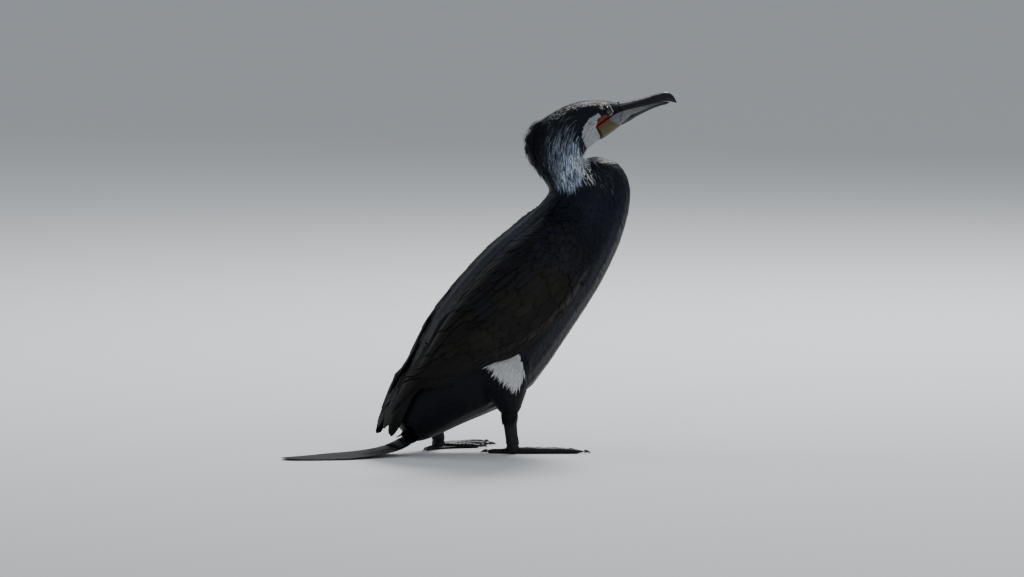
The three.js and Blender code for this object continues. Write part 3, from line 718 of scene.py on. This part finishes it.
nape_edge = nape_band(z)
fan = (x > nape_edge + 5) & (x < 118) & (z > 300) & (z < 398) & on_neck
fan_share = (0.2 + ramp(x - nape_edge, 4, 26)) * ramp(-z, -404, -356) * ramp(z, 304, 326)
fan_share *= np.where((x > 96) & (z > 356), 0.04, 1.0) * np.where(y < 9, 0.3, 1.0)
fan_share *= 1 - 0.97 * ramp(x - 82 - 0.46 * (z - 306), -3, 4) * (z < 352)
planted = scatter(PLUMES, fan * fan_share)
place = planted[2]
bright = ramp(place[:, 0] - nape_band(place[:, 2]), 8, 36) * ramp(-place[:, 2], -390, -346)
bright = 0.14 + 0.86 * (bright * ramp(place[:, 2], 296, 326))
lay_feathers(
    "plumes_neck", planted, length=random.uniform(11, 20, PLUMES),
    half=random.uniform(0.14, 0.38, PLUMES), lift=0.9, tip_lift=1.3,
    colours=varied(PLUME_WHITE, 0.6, PLUMES) * bright[:, None], stray=0.15, material=plume_material,
)
# The fold plumes carry painted light: sunlit white where the fold takes the light, dimmed to grey
# beyond, where they stand for a painted sheen on the bulge.
fold = (x > 84) & (x < 132) & (z > 308) & (z < 350) & (y > 8)
planted = scatter(FOLD_PLUMES_AND_SHEEN, fold * ramp(z + 0.75 * x, 390, 408) * (1 + 5.0 * (x < 107)))
sunlit = 1 - 0.86 * ramp(planted[2][:, 0], 104, 113)
lay_feathers(
    "plumes_and_sheen_fold", planted, length=random.uniform(5, 12, FOLD_PLUMES_AND_SHEEN), half=0.25,
    lift=1.0, tip_lift=1.6, stray=0.35, material=plume_material,
    colours=varied(SUNLIT_PLUME, 0.5, FOLD_PLUMES_AND_SHEEN) * sunlit[:, None],
)
# Flecks on the crown grow only where the skin faces up, so they are partly short white plumes and partly
# a painted highlight on the top of the head.
facing_up = triangle_cross[:, 2] / (2 * triangle_area)
crown = (facing_up > 0.66) & (x > 56) & (x < 136) & (z > 385)
to_eye = np.hypot(x - EYE[0], z - EYE[1])
eye_angle = np.degrees(np.arctan2(z - EYE[1], x - EYE[0]))
brow = (to_eye > 5.9) & (to_eye < 9.6) & (eye_angle > -42) & (eye_angle < 150) & (y > 5)
planted = scatter(FLECKS, crown * 1.0 + brow * 3.4)
lay_feathers(
    "flecks_and_highlight_crown", planted, length=random.uniform(2.4, 5.2, FLECKS), half=0.2, lift=0.6,
    colours=varied(SUNLIT_CREAM, 0.4, FLECKS), stations=2, stray=0.3, material=plume_material,
)

# %% [markdown]
# ## The nape crest
# Long narrow black plumes hang down the back of the head and neck and stand off it at their tips,
# which gives the nape its shaggy edge.

# %% Lay the crest
LOCKS = 460
on_nape = on_neck & (x < nape_edge + 16) & (z > 318) & (z < 398) & (y < 15)
planted = scatter(LOCKS, on_nape)
place = planted[2]
stand = 1.2 + 5.5 * np.exp(-((place[:, 1] / 7) ** 2)) * ramp(place[:, 2], 322, 350)
lay_feathers(
    "crest", planted, length=random.uniform(15, 26, LOCKS),
    half=random.uniform(0.5, 0.95, LOCKS), lift=1.3, tip_lift=stand * random.uniform(0.4, 1.6, LOCKS),
    colours=varied(BLUE_BLACK * 0.8, 0.15, LOCKS), stations=4, stray=0.1, taper=0.98,
)

# %% [markdown]
# ## The folded wings
# A folded wing is a curved shell over the flank, worked out from rings round the body, each given by
# a point on the back, one on the belly and a half width. A place on the wing is a pair of numbers:
# how far from shoulder to tip, and how far from the upper edge to the lower.

# %% The wing's surface
WING_RINGS = np.array([  # back x, z; belly x, z; half width, in mm
    (66, 305, 168.5, 272, 46), (52, 289, 154, 232, 53), (29, 270, 126, 183, 60), (-6, 245, 86, 129, 65),
    (-48, 205, 40, 71, 66), (-85, 161, -2, 46, 62), (-113, 112, -46, 31, 52), (-130, 92, -94, 56, 39),
    (-143, 66, -118, 43, 30), (-153, 42, -137, 28, 23), (-158, 25, -148, 16, 19)], float)
UPPER_EDGE = np.radians([17, 16, 15, 14, 13, 12, 12, 14, 20, 44, 60])
LOWER_EDGE = np.radians([90, 97, 105, 110, 98, 83, 67, 64, 71, 94, 112])
FLANK = 7  # mm, how far the wing stands off the flank


def smooth_value(table, t):
    """A smooth curve through evenly spread values."""
    at = np.clip(t, 0, 1) * (len(table) - 1)
    i = np.minimum(at.astype(int), len(table) - 2)
    f = at - i
    p0, p1 = table[np.maximum(i - 1, 0)], table[i]
    p2, p3 = table[i + 1], table[np.minimum(i + 2, len(table) - 1)]
    f = f[..., None] if table.ndim > 1 else f
    square, cube = 2 * p0 - 5 * p1 + 4 * p2 - p3, 3 * p1 - 3 * p2 + p3 - p0
    return 0.5 * (2 * p1 + (p2 - p0) * f + square * f**2 + cube * f**3)


def wing_drop(a, b):
    """How far the wing dips at its front and edges, in mm, so that it runs into the body."""
    upper = 0.15 + 0.85 * ramp(b, 0, 0.2)
    lower = 0.55 + 0.45 * ramp(1 - b, 0, 0.1)
    front = 0.2 + 0.8 * ramp(a, -0.02, 0.08)
    return FLANK * (1 - np.minimum(np.minimum(upper, lower), front)) * (1 - 0.65 * ramp(a, 0.6, 0.85))


def wing_point(a, b):
    """Places on the right wing in metres: a runs from shoulder to tip, b from upper edge to lower."""
    t = (0.1 + 0.07 * b) * (1 - a) + 0.965 * a
    upper, lower = smooth_value(UPPER_EDGE, t), smooth_value(LOWER_EDGE, t)
    angle = upper + (lower - upper) * b
    rings = smooth_value(WING_RINGS, t)
    back, belly, half_width = rings[..., :2], rings[..., 2:4], rings[..., 4]
    middle, deep = (back + belly) / 2, (back - belly) / 2 * np.cos(angle)[..., None]
    out = np.stack([deep[..., 0], -half_width * np.sin(angle), deep[..., 1]], axis=-1)
    reach = np.linalg.norm(out, axis=-1)
    out *= (1 - wing_drop(a, b) / reach)[..., None]
    out[..., 0] += middle[..., 0] + CENTRING / MM
    out[..., 2] += middle[..., 1]
    return out * MM


def surface_normal(surface, a, b, outwards):
    step = 0.01
    across = surface(a, b + step) - surface(a, b - step)
    return unit(np.cross(surface(a + step, b) - surface(a - step, b), across)) * outwards


# %% [markdown]
# ## Blades for wings and tail
# Long feathers need more shape than the small ones: a rounded tip, a face that falls away from the
# shaft, and a free end that lies over the next tier. Each is a thin closed sheet of 30 to 160 faces.
# A tier is one loop from its lowest feather to its highest.


# %% Build one object of many blades
BLADE_THICKNESS = 0.22 * MM
SHAFT_RISE = 0.14 * MM
OFF_GROUND = 0.6 * MM
Blade = namedtuple("Blade", "root tip half lift colour sharp tilt camber", defaults=(0, 0.15))


def blade_pattern(rows, columns):
    """Faces of a closed sheet: a grid on top, the same grid below, and a rim between them."""
    grid = np.arange(rows * columns).reshape(rows, columns)
    top = np.stack([grid[:-1, :-1], grid[:-1, 1:], grid[1:, 1:], grid[1:, :-1]], axis=-1).reshape(-1, 4)
    back = top[:, [0, 3, 2, 1]] + rows * columns
    rim = np.concatenate([grid[0, :-1], grid[:-1, -1], grid[-1, :0:-1], grid[:0:-1, 0]])
    below = rim + rows * columns
    skirt = np.stack([rim, below, np.roll(below, -1), np.roll(rim, -1)], axis=-1)
    return top.tolist() + back.tolist() + skirt.tolist()


def blade_object(name, surface, outwards, blades, material, rows, columns=5, mirrored=False,
                 replaced=()):
    """One object of blades on a surface: root and tip are places on it, and other sizes are in mm."""
    cells = math.ceil(math.sqrt(len(blades)))
    x, s = np.meshgrid(np.linspace(-1, 1, columns), 1 - (1 - np.linspace(0, 1, rows)) ** 1.4)
    flat = np.stack([(x + 1) / 2, s], axis=-1).reshape(-1, 2)
    vertices, patches = [], []
    for number, blade in enumerate(blades):
        (a0, b0), (a1, b1) = blade.root, blade.tip
        sizes = (blade.half, *blade.lift, blade.tilt, blade.camber)
        half, low, high, tilt, camber = (size * MM for size in sizes)
        a, b = a0 + (a1 - a0) * s, b0 + (b1 - b0) * s
        step = 0.004
        along_a = (surface(a + step, b) - surface(a - step, b)) / (2 * step)
        along_b = (surface(a, b + step) - surface(a, b - step)) / (2 * step)
        run = unit(along_a * (a1 - a0) + along_b * (b1 - b0))
        side = np.cross(surface_normal(surface, a, b, outwards), run)
        beyond = np.clip(s - blade.sharp, 0, 1) / (1 - blade.sharp)
        round_tip = np.sqrt(np.clip(1 - beyond**2, 0.004, 1))
        width = half * (0.6 + 0.4 * np.clip(s * 2.5, 0, 1)) * round_tip
        offset = side * (x * width)[..., None]
        aa, ab, bb = (along_a**2).sum(-1), (along_a * along_b).sum(-1), (along_b**2).sum(-1)
        to_a, to_b = (along_a * offset).sum(-1), (along_b * offset).sum(-1)
        spread = aa * bb - ab * ab + 1e-12
        step_a = np.clip((bb * to_a - ab * to_b) / spread, -0.1, 0.1)  # clipped, because the surface
        step_b = np.clip((aa * to_b - ab * to_a) / spread, -3, 3)  # turns sharply at its ends
        a, b = np.clip(a + step_a, -0.25, 1.04), b + step_b
        height = low + (high - low) * s + tilt * x - camber * x**2
        normal = surface_normal(surface, a, b, outwards)
        top = surface(a, b) + normal * height[..., None]
        top[..., 2] = np.maximum(top[..., 2], OFF_GROUND)
        shaft = normal * (SHAFT_RISE * (np.abs(x) < 0.01) * (1 - 0.7 * s))[..., None]
        under = top - normal * BLADE_THICKNESS
        vertices.append(np.concatenate([(top + shaft).reshape(-1, 3), under.reshape(-1, 3)]))
        cell = np.array([number % cells, number // cells]) / cells
        face = cell + (0.06 + 0.42 * flat * (1, 2)) / cells
        patches.append(np.concatenate([face, face + (0.45 / cells, 0)]))
    vertices = np.array(vertices)
    faces = blade_pattern(rows, columns)
    if mirrored:
        vertices[:, :, 1] *= -1
    first = vertices[0]
    corner = first[faces[0]]
    out = np.cross(corner[1] - corner[0], corner[2] - corner[0])
    if np.dot(out, first[0] - first[rows * columns]) < 0:
        faces = [face[::-1] for face in faces]
    colours = np.array([blade.colour for blade in blades])
    both = np.concatenate([flat, flat])
    joined_blades(name, vertices, faces, np.array(patches), both, colours, material, replaced)


def tier(number, lowest, highest, half, lift, colour, sharp, bend=0.0, spread=0.13, wander=0.003):
    """A tier of feathers from the lower edge up: lowest and highest give root a, b and tip a, b."""
    made = []
    for share in np.linspace(0, 1, number):
        a0, b0, a1, b1 = np.array(lowest) * (1 - share) + np.array(highest) * share
        a1 += bend * math.sin(math.pi * share) + random.normal(0, wander)
        tone = colour * math.exp(random.normal(0, spread))
        made.append(Blade((a0, b0), (a1, b1), half, lift, tone, sharp, tilt=0.3))
    return made


def strewn(number, a_range, b_range, reach, half, lift, colour):
    """Small feathers at random over a part of the wing, all pointing to its tip."""
    made = []
    for _ in range(number):
        a, b = random.uniform(*a_range), random.uniform(*b_range)
        tone = colour * math.exp(random.normal(0, 0.1))
        rise = random.uniform(-0.25, 0.25)
        tip = (a + reach * random.uniform(0.85, 1.15), b)
        risen = (lift[0] + rise, lift[1] + rise)
        made.append(Blade((a, b), tip, half, risen, tone, sharp=0.4, tilt=0.1))
    return made


# %% Lay the wing beds and the wing feathers
BED_DEPTH = 1.4 * MM  # how far the wing is drawn in under its coat
SCALE_ROWS = 10
SCALE_STEP = 0.042  # how much of each row shows, as a share of the wing's length
SCAPULAR_ROWS = 8
MANTLE_EDGE, MIXED_BROWN = MANTLE_BLUE * 0.75, (MANTLE_BLUE + BRONZE) / 2
COVERS = (  # number, range of a, range of b, reach, half width, lift at root and tip, colour
    (190, (-0.1, 0.2), (-0.08, 0.3), 0.062, 4.4, (-0.5, 2.5), MANTLE_EDGE),  # the shoulder
    (100, (-0.1, 0.1), (0.3, 0.6), 0.062, 4.4, (-0.5, 2.5), MANTLE_EDGE),
    (120, (-0.1, 0.03), (0.6, 1.03), 0.062, 4.4, (-0.5, 2.5), MANTLE_EDGE),
    (300, (-0.06, 0.8), (-0.18, 0.02), 0.055, 4.6, (-0.5, 1.2), MANTLE_EDGE),  # the upper edge
    (130, (0.1, 0.5), (0.0, 0.08), 0.055, 4.2, (1.6, 2.7), MANTLE_EDGE),
    (90, (0.02, 0.34), (0.0, 0.5), 0.07, 4.8, (1.4, 2.5), MIXED_BROWN),  # from mantle to wing
    (60, (-0.03, 0.08), (0.45, 1.0), 0.06, 4.4, (1.3, 2.3), MIXED_BROWN),
    # The lower margin's small scales are a fifth lighter than the bronze: partly their own paler tone,
    # partly a painted highlight along the wing's leading edge.
    (110, (0.0, 0.42), (0.9, 1.02), 0.034, 2.8, (0.9, 1.9), BRONZE * 1.2),  # the lower margin
)


def long_wing_feathers():
    low = (-0.9, 0.5)
    outer = tier(8, (0.56, 0.84, 0.995, 0.72), (0.62, 0.3, 0.9, 0.26), 7, low, FLIGHT_BROWN, sharp=0.72)
    inner = tier(4, (0.62, 0.3, 0.93, 0.2), (0.6, 0.02, 0.97, -0.45), 7.5, low, FLIGHT_BROWN, sharp=0.72)
    return outer + inner


def middle_wing_feathers():
    secondaries = tier(13, (0.36, 0.97, 0.63, 0.95), (0.52, 0.02, 0.87, 0.02), 7.6, (-0.8, 1.0),
                       BRONZE * 0.72, bend=0.04, sharp=0.8)
    greater = tier(14, (0.3, 0.98, 0.485, 0.98), (0.4, 0.04, 0.73, 0.05), 7.2, (-0.7, 1.25),
                   BRONZE * 0.9, bend=0.03, sharp=0.7)
    return secondaries + greater


def short_wing_feathers():
    """Rounded scales in staggered rows from the wing's fold to the greater coverts, and scapulars."""
    made = []
    for row in range(SCALE_ROWS):
        shown = SCALE_STEP * row
        stagger = 0.045 * (row % 2) + random.normal(0, 0.008)
        lowest = (shown - 0.075, 0.985 - stagger, shown + 0.05, 0.985 - stagger)
        highest = (1.3 * shown - 0.03, 0.1 - stagger, 1.3 * shown + 0.105, 0.1 - stagger)
        lift = (-0.6, 1.45 + 0.02 * row)
        made += tier(11, lowest, highest, 6.8, lift, BRONZE, sharp=0.52, spread=0.2, wander=0.009)
    for row in range(SCAPULAR_ROWS):
        a0 = 0.47 - 0.065 * row
        stagger = 0.03 * (row % 2)
        lowest = (a0, 0.28 - stagger, a0 + 0.2, 0.26 - stagger)
        highest = (a0 + 0.03, -0.02, a0 + 0.24, -0.02)
        made += tier(5, lowest, highest, 7.2, (0.3, 2.0 + 0.1 * row), BRONZE * 0.75, sharp=0.5)
    return made


def cover_feathers():
    """Black feathers of the mantle and flank that run out over the wing's front and upper edge."""
    return [blade for patch in COVERS for blade in strewn(*patch)]


for side, sign in SIDES.items():
    bed = remoulded([f"wing_{side}"], 1.6 * MM, swell=0.3 * MM, smoothing=10)
    modify(bed, "DISPLACE", strength=-BED_DEPTH, mid_level=0)
    finish_piece(bed, f"wing_bed_{side}", bed_material, [f"wing_{side}"])
    for name, blades, material, finish, rows, columns in (
        ("primaries", long_wing_feathers(), flight_material, "bronze_plumage", 10, 5),
        ("secondaries", middle_wing_feathers(), covert_material, "bronze_plumage", 10, 5),
        ("coverts", short_wing_feathers(), covert_material, "bronze_plumage", 9, 5),
        ("covers", cover_feathers(), small_feathers, "black_plumage", 6, 3),
    ):
        blade_object(f"{name}_{side}", wing_point, 1, blades, material, rows, columns, sign > 0)

# %% [markdown]
# ## The tail
# Fourteen stiff feathers lie in a shallow roof, the middle pair on top and longest. In life the tail
# hangs behind the bird; here it is bent at its root and laid on the ground.

# %% Lay the tail feathers
TAIL_LINE = np.array([  # x, z in mm
    (-100, 30), (-118, 17), (-140, 8), (-170, 3.4), (-210, 1.4), (-245, 0.6), (-284, 0.6)], float)
TAIL_REACH = 186  # mm along the line
TAIL_FEATHERS = 14
TAIL_SPREAD = math.tan(math.radians(8.2))


def tail_point(a, b):
    at = smooth_value(TAIL_LINE, a)
    across = (3 + 6 * np.clip(a * 4, 0, 1)) * b + TAIL_SPREAD * a * TAIL_REACH * b
    return np.stack([at[..., 0] + CENTRING / MM, across, at[..., 1]], axis=-1) * MM


def tail_feathers():
    made = []
    for number in range(TAIL_FEATHERS):
        side = 2 * number / (TAIL_FEATHERS - 1) - 1
        outward = abs(side)
        height = 4.4 - 3.0 * outward + (0.2 if side > 0 else 0)
        tone = TAIL_BLACK * math.exp(random.normal(0, 0.1))
        tip = (0.985 - 0.25 * outward**1.6, side)
        lift = (height, max(height * 0.5, 1.0))
        made.append(Blade((0.02, side), tip, 7.4, lift, tone, sharp=0.84, camber=0.4))
    return made


def tail_coverts():
    """Short feathers in three rows that run from the rump over the roots of the tail."""
    made = []
    for row, (start, reach) in enumerate(((0.16, 0.2), (0.08, 0.18), (0.0, 0.17))):
        for share in np.linspace(-1, 1, 9):
            outward = abs(share)
            a0 = start + random.normal(0, 0.006)
            tone = BELLY_BLACK * math.exp(random.normal(0, 0.12))
            tip = (a0 + reach * (1 - 0.15 * outward), share)
            lift = (5.0 + row - 2 * outward, 5.9 + 0.7 * row - 3 * outward)
            made.append(Blade((a0, share * 0.95), tip, 6.2, lift, tone, sharp=0.55, camber=0.9))
    return made


blade_object("tail_feathers", tail_point, -1, tail_feathers(), tail_material, rows=16,
             replaced=["tail"])
blade_object("tail_coverts", tail_point, -1, tail_coverts(), small_feathers, rows=7)

# %% [markdown]
# ## Bill, throat and feet
# Horn is smooth with a low shine, the throat skin finely creased, and the feet are black with small
# net-like scales. Each is recast from its solid at a finer grain, so that no facet shows, and shank
# and foot become one.

# %% Colour of the bill and throat
def bill_colours(place):
    """Dark upper half, grey lower half that darkens to its tip and keel, and olive-yellow skin."""
    x, y, z = place[:, 0], np.abs(place[:, 1]), place[:, 2]
    upper = np.tile((0.0085, 0.0090, 0.0135), (len(place), 1)) * (1 + 0.6 * ramp(x, 195, 225))[:, None]
    lower = np.tile(JAW_GREY, (len(place), 1)) * (1 - 0.62 * ramp(x, 160, 212))[:, None]
    keel = ramp(2.6 - y, 0, 1.6) * (z < 380 + (x - 140) * 0.32)
    under_edge = np.interp(x, (130, 151, 166.5, 216), (365, 378, 390.5, 405.5))
    keel = np.maximum(keel, ramp(under_edge + 1.6 - z, 0, 1.4))
    lower = blend(lower, np.array((0.011, 0.011, 0.015)), keel)
    throat = np.tile(POUCH_YELLOW, (len(place), 1))
    grey = ramp(z - (387.5 - (x - 135) * 0.4), -1.5, 1.5) * ramp(x, 130, 138)
    throat = blend(throat, JAW_GREY * 0.8, grey)
    gape = [(112, 372), (124, 392), (141, 394), (132, 384.5), (123, 379.5)]
    throat = blend(throat, GAPE_ORANGE, inside(gape, x, z))
    return {"bill_upper": upper, "bill_lower": lower, "throat_pouch": throat}


# %% Recast bill, throat, legs and claws
for name, material, finish, voxel in (
    ("bill_upper", horn_material, "dark_horn", 0.45 * MM),
    ("bill_lower", horn_material, "pale_horn", 0.45 * MM),
    ("throat_pouch", throat_material, "yellow_skin", 0.5 * MM),
):
    piece = remoulded([name], voxel, swell=0.05 * MM, smoothing=5)
    paint(piece, bill_colours(in_mm(vertex_points(piece.data)))[name])
    finish_piece(piece, f"{name}_smooth", material, [name])

for side in SIDES:
    solids = [f"tarsus_{side}", f"foot_{side}"]
    shank = remoulded(solids, 0.8 * MM, swell=0.25 * MM, smoothing=5)
    finish_piece(shank, f"leg_{side}", foot_material, solids)
    for toe in ("hallux", "inner", "middle", "outer"):
        solid = f"claw_{toe}_{side}"
        claw = remoulded([solid], 0.35 * MM, swell=0.05 * MM, smoothing=3)
        finish_piece(claw, f"{solid}_smooth", claw_material, [solid])

# %% [markdown]
# ## The eyes
# The iris is a deep emerald, so dark that it looks black from afar. Each eye is a ball under a wet
# coat, with iris and pupil as rings about the outward axis, and a beaded lid lies round it.

# %% Eyes and lids
LID_TURN = math.radians(14)
LID_RADIUS = 4.1 * MM
LID_BEADS = 22
CORNEA_BULGE = 0.5 * MM
EYE_RINGS = (  # share of the radius outwards, and colour: rim, pupil, iris and its inner edge
    (0.55, (0.004, 0.02, 0.016)), (0.9, (0.002, 0.002, 0.002)),
    (0.72, (0.006, 0.055, 0.036)), (0.86, (0.004, 0.03, 0.02)),
)
eye_low, eye_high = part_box("eye_left")
eye_centre = (eye_low + eye_high) / 2
eye_radius = (eye_high - eye_low).z / 2

emerald = plain("Emerald eye", (0.01, 0.09, 0.06), 0.1, Coat_Weight=0.2, Coat_Roughness=0.03)
tree = emerald.node_tree
parts = node(tree, "SeparateXYZ")
tree.links.new(node(tree, "TexCoord").outputs["Object"], parts.inputs["Vector"])
rings = node(tree, "MapRange")
rings.inputs["From Min"].default_value = eye_centre.y
rings.inputs["From Max"].default_value = eye_centre.y + eye_radius
tree.links.new(maths(tree, "ABSOLUTE", parts.outputs["Y"], 0.0), rings.inputs["Value"])
colours = node(tree, "ValToRGB")
stops = colours.color_ramp.elements
for number, (at, colour) in enumerate(EYE_RINGS):
    stop = stops[number] if number < 2 else stops.new(at)
    stop.position, stop.color = at, (*colour, 1)
tree.links.new(rings.outputs["Result"], colours.inputs["Fac"])
use_colour(emerald, colours.outputs["Color"])

lid_skin = plain("Lid skin", (0.006, 0.009, 0.012), 0.5, shine=0.15)
for side, sign in SIDES.items():
    centre = Vector((eye_centre.x, sign * eye_centre.y, eye_centre.z))
    bpy.ops.mesh.primitive_uv_sphere_add(segments=48, ring_count=32, radius=eye_radius, location=centre)
    ball = bpy.context.object
    bpy.ops.object.transform_apply()
    points = vertex_points(ball.data)
    outward = (points[:, 1] - centre.y) * sign / eye_radius
    points[:, 1] += sign * CORNEA_BULGE * ramp(outward, 0.72, 1.0)
    ball.data.vertices.foreach_set("co", points.ravel())
    bpy.ops.object.shade_smooth()
    finish_piece(ball, f"eyeball_{side}", emerald, [f"eye_{side}"])
    bpy.ops.mesh.primitive_torus_add(
        major_radius=LID_RADIUS, minor_radius=0.7 * MM, major_segments=144, minor_segments=12,
        location=centre + Vector((0.8 * MM, sign * 3.2 * MM, 0)),
        rotation=(math.pi / 2, 0, -sign * LID_TURN),
    )
    lid = bpy.context.object
    points = vertex_points(lid.data)
    turn = np.arctan2(points[:, 1], points[:, 0])
    ring = np.stack([np.cos(turn), np.sin(turn), np.zeros_like(turn)], axis=-1) * LID_RADIUS
    points = ring + (points - ring) * (1 + 0.2 * np.cos(LID_BEADS * turn))[:, None]
    lid.data.vertices.foreach_set("co", points.ravel())
    bpy.ops.object.transform_apply()
    bpy.ops.object.shade_smooth()
    finish_piece(lid, f"lid_{side}", lid_skin)
